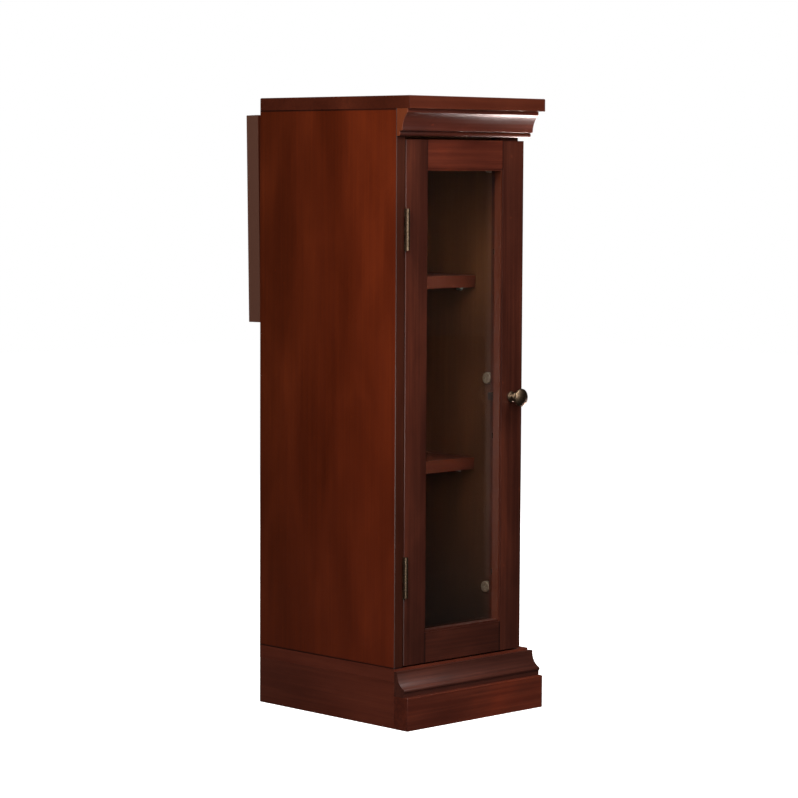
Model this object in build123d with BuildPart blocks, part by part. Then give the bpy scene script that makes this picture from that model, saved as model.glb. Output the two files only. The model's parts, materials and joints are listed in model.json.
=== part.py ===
from build123d import *
import os
from math import asin, cos, degrees, sin

# Narrow glazed cabinet with a drop leaf behind.  All sizes in millimetres.
# +X is to the right of somebody facing the door, +Y goes to the back, +Z is up.
# The origin is on the floor, under the middle of the bounding box.

# ---------------------------------------------------------------- driving sizes
HEIGHT = 914.0
BASE_WIDTH, BASE_DEPTH = 285.5, 321.5
TOP_WIDTH, TOP_DEPTH, TOP_THICK = 282.0, 319.4, 18.5
CARCASS_WIDTH, SIDE_DEPTH = 272.0, 293.5
SIDE_THICK, RIGHT_THICK = 17.5, 16.0
BOTTOM_WIDTH, BOTTOM_THICK = 281.3, 19.0
PLINTH_HEIGHT, PLINTH_THICK, PLINTH_BLOCK = 68.5, 18.0, 48.3
CORNER_BLOCK, CORNER_BLOCK_FOOT = 22.0, 4.0
BACK_THICK, BACK_INSET, BACK_REBATE = 4.0, 1.0, 5.0
FRONT_STILE_THICK, FRONT_STILE_WIDTH, DOOR_TO_STILE = 19.0, 37.6, 1.0
INNER_TOP_BOTTOM, INNER_TOP_THICK, HINGE_RAIL_THICK = 857.0, 18.0, 18.0
CROWN_BOTTOM, CREST_UNDER_FLOOR = 856.5, 3.5

SHELF_THICK, SHELF_DEPTH, SHELF_SLACK = 18.7, 196.0, 0.5
SHELF_TOPS = {"shelf_upper": 649.8, "shelf_lower": 372.6}
PIN_RADIUS, PIN_LENGTH, PIN_BURIED = 2.5, 17.0, 9.0
PINS_FROM_BACK = (30.0, 170.0)

DOOR_THICK, DOOR_GAP = 19.0, 1.4
DOOR_BOTTOM, DOOR_TOP = 90.2, 851.7
DOOR_RIGHT = 264.2
STILE_FACE_LEFT, STILE_FACE_RIGHT = 42.3, 43.7
RAIL_FACE_TOP, RAIL_FACE_BOTTOM = 41.3, 44.2
STICKING, STICKING_DEEP = 3.0, 1.6
TENON_LENGTH, TENON_THICK, TENON_SHOULDER, TENON_FIT = 10.0, 7.0, 9.0, 0.1
REBATE_WIDTH, REBATE_DEPTH = 6.0, 4.4
GLASS_THICK, GLASS_FIT = 4.0, 0.3
CLIP_HALF, CLIP_BACK, CLIP_REACH, CLIP_THICK, CLIP_FROM_OPENING = 4.0, 4.0, 9.0, 0.8, 9.5

HINGE_LENGTH, HINGE_PLATE, HINGE_KNUCKLES = 60.0, 1.6, 5
HINGE_FRAME_PLATE_DEPTH, HINGE_DOOR_PLATE_DEPTH = 20.0, 18.0
KNUCKLE_RADIUS, KNUCKLE_STAND_OFF, KNUCKLE_GAP = 3.7, 4.0, 0.3
HINGE_PIN_RADIUS, PIN_FIT = 1.6, 0.05
DOOR_HINGE_HEIGHTS = (219.5, 723.0)
HINGE_SCREW_STEPS = (-22, 0, 22)

KNOB_HEIGHT, KNOB_FROM_LEFT, KNOB_PROUD = 470.8, 241.0, 26.2
KNOB_RIM, KNOB_DOME_RADIUS = 12.4, 22.0
KNOB_SCREW_RADIUS, KNOB_HEAD_RADIUS, KNOB_HEAD_THICK, KNOB_HEAD_SUNK = 2.0, 4.2, 2.4, 0.4
CAM_RADIUS, CAM_BURIED, CAM_PROUD, CAM_REACH = 8.5, 11.0, 6.0, 24.0
CAM_SLOT, CAM_SLOT_DEEP = 2.0, 1.4
CAM_HEIGHTS = (177.0, 495.0, 813.0)
CAM_BOLT_IN_STILE, CAM_BOLT_THREAD_HOLE, CAM_BOLT_WAY = 11.0, 2.5, 3.5
CAM_BOLT_STEPS = ((2.45, 0.0, 14.0), (2.0, 14.0, 31.0), (3.2, 30.0, 34.0))  # radius, start and end
CATCH_WIDE, CATCH_DEEP, CATCH_HALF, CATCH_EARS = 12.0, 12.6, 5.5, 13.0
CATCH_WALL, CATCH_MAGNET_HALF, CATCH_SCREW_STEP, STRIKE_THICK = 3.0, 3.6, 9.5, 0.6

LEAF_WIDTH, LEAF_LENGTH, LEAF_THICK = 282.0, 311.0, 25.0
LEAF_GAP, LEAF_AXIS_BEHIND, LEAF_FACE_FROM_AXIS = 1.0, 3.8, 2.7
LEAF_REST_CLEARANCE = 0.4
LEAF_KNUCKLE_RADIUS, LEAF_PIN_RADIUS, LEAF_PLATE = 2.4, 1.2, 1.5
LEAF_HINGES_FROM_LEFT = (62.0, 212.0)
LEAF_FLAP_REACH, FLAP_SCREWS_FROM_AXIS = 28.0, 17.0

DOWEL_RADIUS, DOWEL_LENGTH = 4.0, 30.0
DOWEL_IN_TOP, DOWEL_IN_FLOOR, DOWEL_IN_PANEL = 10.0, 12.0, 10.0
DOWELS_FROM_BACK, INNER_TOP_DOWELS_FROM_BACK = (40, 220), (60, 200)

# ---------------------------------------------------------------- worked out places
LEAF_TOP_FROM_AXIS = LEAF_AXIS_BEHIND - LEAF_GAP
LEAF_LEAN = asin(
    (LEAF_AXIS_BEHIND + LEAF_FACE_FROM_AXIS - LEAF_REST_CLEARANCE)
    / (LEAF_LENGTH - LEAF_TOP_FROM_AXIS)
)
LEAF_REACH = (
    LEAF_AXIS_BEHIND
    + (LEAF_FACE_FROM_AXIS + LEAF_THICK) * cos(LEAF_LEAN)
    + LEAF_TOP_FROM_AXIS * sin(LEAF_LEAN)
)

LEFT = -BASE_WIDTH / 2
BACK = (BASE_DEPTH - LEAF_REACH) / 2
FRONT = BACK - SIDE_DEPTH
TOP_UNDER = HEIGHT - TOP_THICK
FLOOR_TOP = PLINTH_HEIGHT + BOTTOM_THICK
LEFT_INNER = LEFT + SIDE_THICK
RIGHT_OUTER = LEFT + CARCASS_WIDTH
RIGHT_INNER = RIGHT_OUTER - RIGHT_THICK
DOOR_BACK = FRONT + DOOR_THICK
STICKING_BACK = FRONT + STICKING_DEEP
STILE_FRONT = DOOR_BACK + DOOR_TO_STILE
STILE_BACK = STILE_FRONT + FRONT_STILE_THICK
STILE_LEFT = RIGHT_OUTER - FRONT_STILE_WIDTH
INNER_TOP_TOP = INNER_TOP_BOTTOM + INNER_TOP_THICK
BACK_PANEL_BACK = BACK - BACK_INSET
BACK_PANEL_FRONT = BACK_PANEL_BACK - BACK_THICK
DOOR_LEFT_X = LEFT_INNER + DOOR_GAP
DOOR_RIGHT_X = LEFT + DOOR_RIGHT
FACE_LEFT = DOOR_LEFT_X + STILE_FACE_LEFT
FACE_RIGHT = DOOR_RIGHT_X - STILE_FACE_RIGHT
OPENING_LEFT = FACE_LEFT + STICKING
OPENING_RIGHT = FACE_RIGHT - STICKING
OPENING_BOTTOM = DOOR_BOTTOM + RAIL_FACE_BOTTOM + STICKING
OPENING_TOP = DOOR_TOP - RAIL_FACE_TOP - STICKING
HINGE_X = LEFT_INNER + DOOR_GAP / 2
HINGE_Y = FRONT - KNUCKLE_STAND_OFF
LEAF_AXIS_Y = BACK + LEAF_AXIS_BEHIND
LEAF_AXIS_Z = HEIGHT - LEAF_FACE_FROM_AXIS - LEAF_THICK
KNOB_X = LEFT + KNOB_FROM_LEFT
CAM_Y = STILE_BACK + CAM_REACH


# ---------------------------------------------------------------- shared shapes
def board(x_low, x_high, y_low, y_high, z_low, z_high, mode=Mode.ADD):
    """A square-cut board between two corners, in the part that is open."""
    corner = (Align.MIN, Align.MIN, Align.MIN)
    with Locations((x_low, y_low, z_low)):
        Box(x_high - x_low, y_high - y_low, z_high - z_low, align=corner, mode=mode)


def pegs(places, radius, length, mode=Mode.ADD):
    """A round peg, or a hole, along the z of each plane."""
    for place in places:
        with Locations(place):
            Cylinder(radius, length, align=(Align.CENTER, Align.CENTER, Align.MIN), mode=mode)


def screws(places, head, shank, length, mode=Mode.ADD):
    """A countersunk screw, or the hole for it, along the z of each plane."""
    sink = head - shank
    for place in places:
        with Locations(place):
            Cone(head, shank, sink, align=(Align.CENTER, Align.CENTER, Align.MIN), mode=mode)
        with Locations(place.offset(sink)):
            Cylinder(shank, length - sink, align=(Align.CENTER, Align.CENTER, Align.MIN), mode=mode)
        if mode == Mode.ADD:
            with Locations(place):
                Box(1.1 * head, 0.18 * head, 0.9 * sink, mode=Mode.SUBTRACT)
                Box(0.18 * head, 1.1 * head, 0.9 * sink, mode=Mode.SUBTRACT)


def facing(point, direction):
    """A plane at a point, with its z along a direction."""
    return Plane(origin=point, z_dir=direction)


def save(piece, name):
    piece.part.label = name
    export_step(piece.part, f"parts/{name}.step")


os.makedirs("parts", exist_ok=True)

# ---------------------------------------------------------------- where dowels and screws go
side_centres = (LEFT + SIDE_THICK / 2, RIGHT_OUTER - RIGHT_THICK / 2)
top_dowels = [facing((x, BACK - depth, TOP_UNDER + DOWEL_IN_TOP - DOWEL_LENGTH), (0, 0, 1))
              for x in side_centres for depth in DOWELS_FROM_BACK]
floor_dowels = [facing((x, BACK - depth, FLOOR_TOP - DOWEL_IN_FLOOR), (0, 0, 1))
                for x in side_centres for depth in DOWELS_FROM_BACK]
inner_top_z = (INNER_TOP_BOTTOM + INNER_TOP_TOP) / 2
inner_top_dowels_left = [facing((LEFT_INNER - DOWEL_IN_PANEL, BACK - depth, inner_top_z), (1, 0, 0))
                         for depth in INNER_TOP_DOWELS_FROM_BACK]
inner_top_dowels_right = [facing((RIGHT_INNER + DOWEL_IN_PANEL, BACK - depth, inner_top_z), (-1, 0, 0))
                          for depth in INNER_TOP_DOWELS_FROM_BACK]
carcass_dowels = top_dowels + floor_dowels + inner_top_dowels_left + inner_top_dowels_right

pins_left = [facing((LEFT_INNER - PIN_BURIED, BACK - depth, top - SHELF_THICK - PIN_RADIUS), (1, 0, 0))
             for top in SHELF_TOPS.values() for depth in PINS_FROM_BACK]
pins_right = [facing((RIGHT_INNER + PIN_BURIED, BACK - depth, top - SHELF_THICK - PIN_RADIUS), (-1, 0, 0))
              for top in SHELF_TOPS.values() for depth in PINS_FROM_BACK]

cam_places = [facing((RIGHT_INNER + CAM_BURIED, CAM_Y, z), (-1, 0, 0)) for z in CAM_HEIGHTS]
cam_bolt_x = RIGHT_INNER + RIGHT_THICK / 2
cam_bolts_at = [facing((cam_bolt_x, STILE_BACK - CAM_BOLT_IN_STILE, z), (0, 1, 0)) for z in CAM_HEIGHTS]

catch_front = STILE_FRONT + 0.4
catch_back = catch_front + CATCH_DEEP
catch_left = STILE_LEFT - CATCH_WIDE
catch_screws_at = [facing((STILE_LEFT - CATCH_WALL, catch_front + 3.5, KNOB_HEIGHT + step), (1, 0, 0))
                   for step in (-CATCH_SCREW_STEP, CATCH_SCREW_STEP)]
CATCH_SCREW = dict(head=2.2, shank=1.1, length=12.0)

frame_hinge_screws = [facing((LEFT_INNER, FRONT + 12, z + step), (-1, 0, 0))
                      for z in DOOR_HINGE_HEIGHTS for step in HINGE_SCREW_STEPS]
door_hinge_screws = [facing((DOOR_LEFT_X, FRONT + 10, z + step), (1, 0, 0))
                     for z in DOOR_HINGE_HEIGHTS for step in HINGE_SCREW_STEPS]

leaf_frame = Plane(
    origin=(0, LEAF_AXIS_Y, LEAF_AXIS_Z),
    x_dir=(1, 0, 0),
    z_dir=(0, cos(LEAF_LEAN), -sin(LEAF_LEAN)),
)  # its y runs down the leaf and its z runs outwards
leaf_hinge_x = [LEFT + x for x in LEAF_HINGES_FROM_LEFT]
flap_screws_at = [x + step for x in leaf_hinge_x for step in HINGE_SCREW_STEPS]
fixed_flap_screws = [facing((x, BACK + LEAF_PLATE, LEAF_AXIS_Z - FLAP_SCREWS_FROM_AXIS), (0, -1, 0))
                     for x in flap_screws_at]
moving_flap_face = leaf_frame.offset(LEAF_FACE_FROM_AXIS - LEAF_PLATE)
moving_flap_screws = [
    facing(moving_flap_face.from_local_coords((x, FLAP_SCREWS_FROM_AXIS, 0)), leaf_frame.z_dir)
    for x in flap_screws_at
]
FLAP_SCREW = dict(head=2.6, shank=1.4, length=14.0)
HINGE_SCREW = dict(head=2.8, shank=1.5, length=15.0)

# ---------------------------------------------------------------- carcass
with BuildPart() as top_board:
    board(LEFT, LEFT + TOP_WIDTH, BACK - TOP_DEPTH, BACK, TOP_UNDER, HEIGHT)
    chamfer(top_board.edges().group_by(Axis.Z)[-1], 0.9)
    pegs(top_dowels, DOWEL_RADIUS, DOWEL_LENGTH, Mode.SUBTRACT)
save(top_board, "top_board")

with BuildPart() as side_panel_left:
    board(LEFT, LEFT_INNER, FRONT, BACK, FLOOR_TOP, TOP_UNDER)
    chamfer(side_panel_left.edges().filter_by(Axis.Z).group_by(Axis.Y)[0], 0.8)
    board(LEFT_INNER - BACK_REBATE, LEFT_INNER, BACK_PANEL_FRONT, BACK, FLOOR_TOP, TOP_UNDER, Mode.SUBTRACT)
    pegs(top_dowels[:2] + floor_dowels[:2], DOWEL_RADIUS, DOWEL_LENGTH, Mode.SUBTRACT)
    pegs(inner_top_dowels_left, DOWEL_RADIUS, DOWEL_LENGTH, Mode.SUBTRACT)
    pegs(pins_left, PIN_RADIUS, PIN_LENGTH, Mode.SUBTRACT)
    for height in DOOR_HINGE_HEIGHTS:
        board(LEFT_INNER - HINGE_PLATE, LEFT_INNER, FRONT, FRONT + HINGE_FRAME_PLATE_DEPTH,
              height - HINGE_LENGTH / 2, height + HINGE_LENGTH / 2, Mode.SUBTRACT)
    screws(frame_hinge_screws, mode=Mode.SUBTRACT, **HINGE_SCREW)
save(side_panel_left, "side_panel_left")

with BuildPart() as side_panel_right:
    board(RIGHT_INNER, RIGHT_OUTER, STILE_BACK, BACK, FLOOR_TOP, TOP_UNDER)
    board(RIGHT_INNER, RIGHT_INNER + BACK_REBATE, BACK_PANEL_FRONT, BACK, FLOOR_TOP, TOP_UNDER, Mode.SUBTRACT)
    pegs(top_dowels[2:] + floor_dowels[2:], DOWEL_RADIUS, DOWEL_LENGTH, Mode.SUBTRACT)
    pegs(inner_top_dowels_right, DOWEL_RADIUS, DOWEL_LENGTH, Mode.SUBTRACT)
    pegs(pins_right, PIN_RADIUS, PIN_LENGTH, Mode.SUBTRACT)
    pegs(cam_places, CAM_RADIUS, CAM_BURIED, Mode.SUBTRACT)
    pegs(cam_bolts_at, CAM_BOLT_WAY, CAM_BOLT_IN_STILE + CAM_REACH, Mode.SUBTRACT)
save(side_panel_right, "side_panel_right")

with BuildPart() as front_stile:
    board(STILE_LEFT, RIGHT_OUTER, STILE_FRONT, STILE_BACK, FLOOR_TOP, TOP_UNDER)
    pegs(cam_bolts_at, CAM_BOLT_THREAD_HOLE, CAM_BOLT_IN_STILE, Mode.SUBTRACT)
    screws(catch_screws_at, mode=Mode.SUBTRACT, **CATCH_SCREW)
save(front_stile, "front_stile")

with BuildPart() as header_rail:
    board(LEFT_INNER, RIGHT_OUTER, FRONT, STILE_FRONT, INNER_TOP_BOTTOM, TOP_UNDER)
save(header_rail, "header_rail")

with BuildPart() as inner_top:
    board(LEFT_INNER, RIGHT_INNER, STILE_FRONT, BACK - HINGE_RAIL_THICK, INNER_TOP_BOTTOM, INNER_TOP_TOP)
    board(STILE_LEFT, RIGHT_INNER, STILE_FRONT, STILE_BACK, INNER_TOP_BOTTOM, INNER_TOP_TOP, Mode.SUBTRACT)
    pegs(inner_top_dowels_left + inner_top_dowels_right, DOWEL_RADIUS, DOWEL_LENGTH, Mode.SUBTRACT)
save(inner_top, "inner_top")

with BuildPart() as bottom_board:
    board(LEFT, LEFT + BOTTOM_WIDTH, FRONT, BACK, PLINTH_HEIGHT, FLOOR_TOP)
    pegs(floor_dowels, DOWEL_RADIUS, DOWEL_LENGTH, Mode.SUBTRACT)
save(bottom_board, "bottom_board")

with BuildPart() as back_panel:
    board(LEFT_INNER - BACK_REBATE, RIGHT_INNER + BACK_REBATE, BACK_PANEL_FRONT, BACK_PANEL_BACK,
          FLOOR_TOP, INNER_TOP_BOTTOM)
save(back_panel, "back_panel")

with BuildPart() as hinge_rail:
    board(LEFT_INNER, RIGHT_INNER, BACK - HINGE_RAIL_THICK, BACK, INNER_TOP_BOTTOM, TOP_UNDER)
    screws(fixed_flap_screws, mode=Mode.SUBTRACT, **FLAP_SCREW)
save(hinge_rail, "hinge_rail")

with BuildPart() as dowels:
    pegs(carcass_dowels, DOWEL_RADIUS - 0.05, DOWEL_LENGTH - 1)
save(dowels, "carcass_dowels")

# ---------------------------------------------------------------- cam fittings of the front stile
with BuildPart() as cam_locks:
    pegs(cam_places, CAM_RADIUS - 0.05, CAM_BURIED + CAM_PROUD)
    chamfer(cam_locks.edges().group_by(Axis.X)[0], 0.8)
    for height in CAM_HEIGHTS:
        with Locations((RIGHT_INNER - CAM_PROUD, CAM_Y, height)):
            Box(2 * CAM_SLOT_DEEP, 8.0, CAM_SLOT, mode=Mode.SUBTRACT)
            Box(2 * CAM_SLOT_DEEP, CAM_SLOT, 8.0, mode=Mode.SUBTRACT)
        board(RIGHT_INNER - CAM_PROUD - 1, RIGHT_INNER - CAM_PROUD + CAM_SLOT_DEEP,
              CAM_Y + 2, CAM_Y + CAM_RADIUS + 1, height + 1.6, height + 3.6, Mode.SUBTRACT)
    pegs(cam_bolts_at, CAM_BOLT_WAY + 0.1, CAM_BOLT_IN_STILE + CAM_REACH, Mode.SUBTRACT)
save(cam_locks, "cam_locks")

with BuildPart() as cam_bolts:
    for radius, start, end in CAM_BOLT_STEPS:
        pegs([place.offset(start) for place in cam_bolts_at], radius, end - start)
save(cam_bolts, "cam_bolts")

# ---------------------------------------------------------------- crown and base mouldings
def profile(height, *points):
    """Points of a moulding's section, each a distance ahead of the carcass and one down from a height."""
    return [(FRONT - ahead, height - down) for ahead, down in points]


with BuildPart() as crown_moulding:
    crown_height = TOP_UNDER - CROWN_BOTTOM
    with BuildSketch(Plane.YZ.offset(LEFT)):
        with BuildLine():
            Polyline(*profile(TOP_UNDER, (0, 0), (22.0, 0), (22.0, 6.0), (20.5, 6.6)))
            ThreePointArc(*profile(TOP_UNDER, (20.5, 6.6), (14.0, 16.2), (10.6, 31.4)))
            Line(*profile(TOP_UNDER, (10.6, 31.4), (5.2, 32.4)))
            ThreePointArc(*profile(TOP_UNDER, (5.2, 32.4), (6.4, 35.6), (4.6, crown_height)))
            Polyline(*profile(TOP_UNDER, (4.6, crown_height), (0, crown_height), (0, 0)))
        make_face()
    extrude(amount=CARCASS_WIDTH)
save(crown_moulding, "crown_moulding")

with BuildPart() as base_moulding:
    crest = FLOOR_TOP - CREST_UNDER_FLOOR
    base_height = crest - PLINTH_BLOCK
    with BuildSketch(Plane.YZ.offset(LEFT)):
        with BuildLine():
            Polyline(*profile(crest, (0, base_height), (0, 0), (6.5, 0), (6.5, 3.0)))
            ThreePointArc(*profile(crest, (6.5, 3.0), (10.6, 16.2), (20.0, 24.0)))
            ThreePointArc(*profile(crest, (20.0, 24.0), (21.6, 26.2), (20.6, 28.8)))
            Polyline(*profile(crest, (20.6, 28.8), (19.6, 29.4), (19.6, base_height), (0, base_height)))
        make_face()
    extrude(amount=BASE_WIDTH)
save(base_moulding, "base_moulding")

# ---------------------------------------------------------------- plinth
with BuildPart() as plinth_front:
    board(LEFT, LEFT + BASE_WIDTH, BACK - BASE_DEPTH, FRONT, 0, PLINTH_BLOCK)
    front_face_edges = plinth_front.edges().group_by(Axis.Y)[0]
    fillet(front_face_edges.filter_by(Axis.Z), 1.6)
    fillet(plinth_front.edges().group_by(Axis.Y)[0].sort_by(Axis.Z)[-1], 1.2)
save(plinth_front, "plinth_front")

inner_left, inner_right = LEFT + PLINTH_THICK, LEFT + BASE_WIDTH - PLINTH_THICK
inner_front, inner_back = FRONT + PLINTH_THICK, BACK - PLINTH_THICK

with BuildPart() as plinth_backer:
    board(inner_left, inner_right, FRONT, inner_front, 0, PLINTH_HEIGHT)
save(plinth_backer, "plinth_backer")

with BuildPart() as plinth_back:
    board(inner_left, inner_right, inner_back, BACK, 0, PLINTH_HEIGHT)
save(plinth_back, "plinth_back")

with BuildPart() as plinth_side_left:
    board(LEFT, inner_left, FRONT, BACK, 0, PLINTH_HEIGHT)
save(plinth_side_left, "plinth_side_left")

with BuildPart() as plinth_side_right:
    board(inner_right, LEFT + BASE_WIDTH, FRONT, BACK, 0, PLINTH_HEIGHT)
save(plinth_side_right, "plinth_side_right")

with BuildPart() as corner_blocks:
    with BuildSketch(Plane.XY.offset(CORNER_BLOCK_FOOT)):
        for x, x_way in ((inner_left, 1), (inner_right, -1)):
            for y, y_way in ((inner_front, 1), (inner_back, -1)):
                with BuildLine():
                    Polyline((x, y), (x + x_way * CORNER_BLOCK, y), (x, y + y_way * CORNER_BLOCK), close=True)
                make_face()
    extrude(amount=PLINTH_HEIGHT - CORNER_BLOCK_FOOT)
save(corner_blocks, "plinth_corner_blocks")

# ---------------------------------------------------------------- shelves
for shelf_name, shelf_top in SHELF_TOPS.items():
    with BuildPart() as shelf:
        board(LEFT_INNER + SHELF_SLACK, RIGHT_INNER - SHELF_SLACK,
              BACK_PANEL_FRONT - SHELF_DEPTH, BACK_PANEL_FRONT - SHELF_SLACK,
              shelf_top - SHELF_THICK, shelf_top)
        fillet(shelf.edges().filter_by(Axis.X).group_by(Axis.Y)[0], 0.8)
    save(shelf, shelf_name)

with BuildPart() as shelf_pins:
    pegs(pins_left + pins_right, PIN_RADIUS - 0.05, PIN_LENGTH - 0.5)
    pegs([place.offset(PIN_BURIED) for place in pins_left + pins_right], PIN_RADIUS + 1.2, 1.0)
    for shelf_top in SHELF_TOPS.values():
        underside = shelf_top - SHELF_THICK
        board(LEFT, RIGHT_OUTER, FRONT, BACK, underside - 0.05, underside + 4, Mode.SUBTRACT)
save(shelf_pins, "shelf_pins")

# ---------------------------------------------------------------- door frame
tenon_y = FRONT + DOOR_THICK / 2


def door_rebate():
    """Cuts the step for the glass, all round the opening, from the back."""
    board(OPENING_LEFT - REBATE_WIDTH, OPENING_RIGHT + REBATE_WIDTH,
          DOOR_BACK - REBATE_DEPTH, DOOR_BACK,
          OPENING_BOTTOM - REBATE_WIDTH, OPENING_TOP + REBATE_WIDTH, Mode.SUBTRACT)


def tenons(z_low, z_high, fit, mode):
    """The tongues at both ends of a rail, or their mortises."""
    for x in (OPENING_LEFT, OPENING_RIGHT):
        board(x - TENON_LENGTH - fit, x + TENON_LENGTH + fit,
              tenon_y - TENON_THICK / 2 - fit, tenon_y + TENON_THICK / 2 + fit,
              z_low - fit, z_high + fit, mode)


RAIL_TENONS = (
    (DOOR_BOTTOM + TENON_SHOULDER, OPENING_BOTTOM - TENON_SHOULDER),
    (OPENING_TOP + TENON_SHOULDER, DOOR_TOP - TENON_SHOULDER),
)


def clip_screws_at(x, heights):
    """The places of the glass clips' screws at one x, driven from the back."""
    return [facing((x, DOOR_BACK + CLIP_THICK, z), (0, -1, 0)) for z in heights]


clip_heights = (OPENING_BOTTOM + 70, (OPENING_BOTTOM + OPENING_TOP) / 2 - 60, OPENING_TOP - 120)
clip_x = (OPENING_LEFT + OPENING_RIGHT) / 2
clip_screws_left = clip_screws_at(OPENING_LEFT - CLIP_FROM_OPENING, clip_heights)
clip_screws_right = clip_screws_at(OPENING_RIGHT + CLIP_FROM_OPENING, clip_heights)
clip_screws_low = clip_screws_at(clip_x, [OPENING_BOTTOM - CLIP_FROM_OPENING])
clip_screws_high = clip_screws_at(clip_x, [OPENING_TOP + CLIP_FROM_OPENING])
clip_screws = clip_screws_left + clip_screws_right + clip_screws_low + clip_screws_high
CLIP_SCREW = dict(head=2.4, shank=1.2, length=9.0)
strike_x = STILE_LEFT - CATCH_WIDE / 2
strike_screw = [facing((strike_x, DOOR_BACK + STRIKE_THICK, KNOB_HEIGHT), (0, -1, 0))]
knob_bore = [facing((KNOB_X, DOOR_BACK, KNOB_HEIGHT), (0, -1, 0))]

with BuildPart() as door_stile_left:
    board(DOOR_LEFT_X, OPENING_LEFT, FRONT, DOOR_BACK, DOOR_BOTTOM, DOOR_TOP)
    chamfer(door_stile_left.edges().filter_by(Axis.Z).group_by(Axis.Y)[0].sort_by(Axis.X)[0], 0.9)
    board(FACE_LEFT, OPENING_LEFT, FRONT, STICKING_BACK, DOOR_BOTTOM, DOOR_TOP, Mode.SUBTRACT)
    door_rebate()
    for low, high in RAIL_TENONS:
        tenons(low, high, TENON_FIT, Mode.SUBTRACT)
    for height in DOOR_HINGE_HEIGHTS:
        board(DOOR_LEFT_X, DOOR_LEFT_X + HINGE_PLATE, FRONT, FRONT + HINGE_DOOR_PLATE_DEPTH,
              height - HINGE_LENGTH / 2, height + HINGE_LENGTH / 2, Mode.SUBTRACT)
    screws(door_hinge_screws, mode=Mode.SUBTRACT, **HINGE_SCREW)
    screws(clip_screws_left, mode=Mode.SUBTRACT, **CLIP_SCREW)
save(door_stile_left, "door_stile_left")

with BuildPart() as door_stile_right:
    board(OPENING_RIGHT, DOOR_RIGHT_X, FRONT, DOOR_BACK, DOOR_BOTTOM, DOOR_TOP)
    fillet(door_stile_right.edges().filter_by(Axis.Z).group_by(Axis.Y)[0].sort_by(Axis.X)[-1], 1.2)
    board(OPENING_RIGHT, FACE_RIGHT, FRONT, STICKING_BACK, DOOR_BOTTOM, DOOR_TOP, Mode.SUBTRACT)
    door_rebate()
    for low, high in RAIL_TENONS:
        tenons(low, high, TENON_FIT, Mode.SUBTRACT)
    screws(clip_screws_right, mode=Mode.SUBTRACT, **CLIP_SCREW)
    screws(strike_screw, mode=Mode.SUBTRACT, **CLIP_SCREW)
    pegs(knob_bore, KNOB_SCREW_RADIUS + 0.1, DOOR_THICK, Mode.SUBTRACT)
    pegs(knob_bore, KNOB_HEAD_RADIUS + 0.4, KNOB_HEAD_SUNK + KNOB_HEAD_THICK, Mode.SUBTRACT)
save(door_stile_right, "door_stile_right")


def door_rail(z_low, z_high, step_low, tongue, screw_places):
    """A rail whose ends fill the steps of the stiles; step_low is where its own step starts."""
    with BuildPart() as rail:
        with BuildSketch(Plane.XY.offset(z_low)):
            with BuildLine():
                Polyline((FACE_LEFT, FRONT), (FACE_RIGHT, FRONT),
                         (FACE_RIGHT, STICKING_BACK), (OPENING_RIGHT, STICKING_BACK),
                         (OPENING_RIGHT, DOOR_BACK), (OPENING_LEFT, DOOR_BACK),
                         (OPENING_LEFT, STICKING_BACK), (FACE_LEFT, STICKING_BACK), close=True)
            make_face()
        extrude(amount=z_high - z_low)
        board(FACE_LEFT, FACE_RIGHT, FRONT, STICKING_BACK, step_low, step_low + STICKING, Mode.SUBTRACT)
        tenons(*tongue, 0, Mode.ADD)
        door_rebate()
        screws(screw_places, mode=Mode.SUBTRACT, **CLIP_SCREW)
    return rail


door_rail_bottom = door_rail(
    DOOR_BOTTOM, OPENING_BOTTOM, OPENING_BOTTOM - STICKING, RAIL_TENONS[0], clip_screws_low)
save(door_rail_bottom, "door_rail_bottom")
door_rail_top = door_rail(OPENING_TOP, DOOR_TOP, OPENING_TOP, RAIL_TENONS[1], clip_screws_high)
save(door_rail_top, "door_rail_top")

with BuildPart() as door_glass:
    reach = REBATE_WIDTH - GLASS_FIT
    board(OPENING_LEFT - reach, OPENING_RIGHT + reach, DOOR_BACK - REBATE_DEPTH + 0.1,
          DOOR_BACK - REBATE_DEPTH + 0.1 + GLASS_THICK, OPENING_BOTTOM - reach, OPENING_TOP + reach)
save(door_glass, "door_glass")

with BuildPart() as glass_clips:
    clip_front, clip_rear = DOOR_BACK, DOOR_BACK + CLIP_THICK
    for place in clip_screws_left + clip_screws_right:
        ahead, behind = (CLIP_REACH, CLIP_BACK) if place.origin.X < clip_x else (CLIP_BACK, CLIP_REACH)
        board(place.origin.X - behind, place.origin.X + ahead, clip_front, clip_rear,
              place.origin.Z - CLIP_HALF, place.origin.Z + CLIP_HALF)
    for place in clip_screws_low + clip_screws_high:
        ahead, behind = (CLIP_REACH, CLIP_BACK) if place.origin.Z < KNOB_HEIGHT else (CLIP_BACK, CLIP_REACH)
        board(clip_x - CLIP_HALF, clip_x + CLIP_HALF, clip_front, clip_rear,
              place.origin.Z - behind, place.origin.Z + ahead)
    fillet(glass_clips.edges().filter_by(Axis.Y), 1.5)
    screws(clip_screws, mode=Mode.SUBTRACT, **CLIP_SCREW)
save(glass_clips, "glass_clips")

with BuildPart() as glass_clip_screws:
    screws(clip_screws, **CLIP_SCREW)
save(glass_clip_screws, "glass_clip_screws")

# ---------------------------------------------------------------- door hinges
segment = HINGE_LENGTH / HINGE_KNUCKLES


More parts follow.
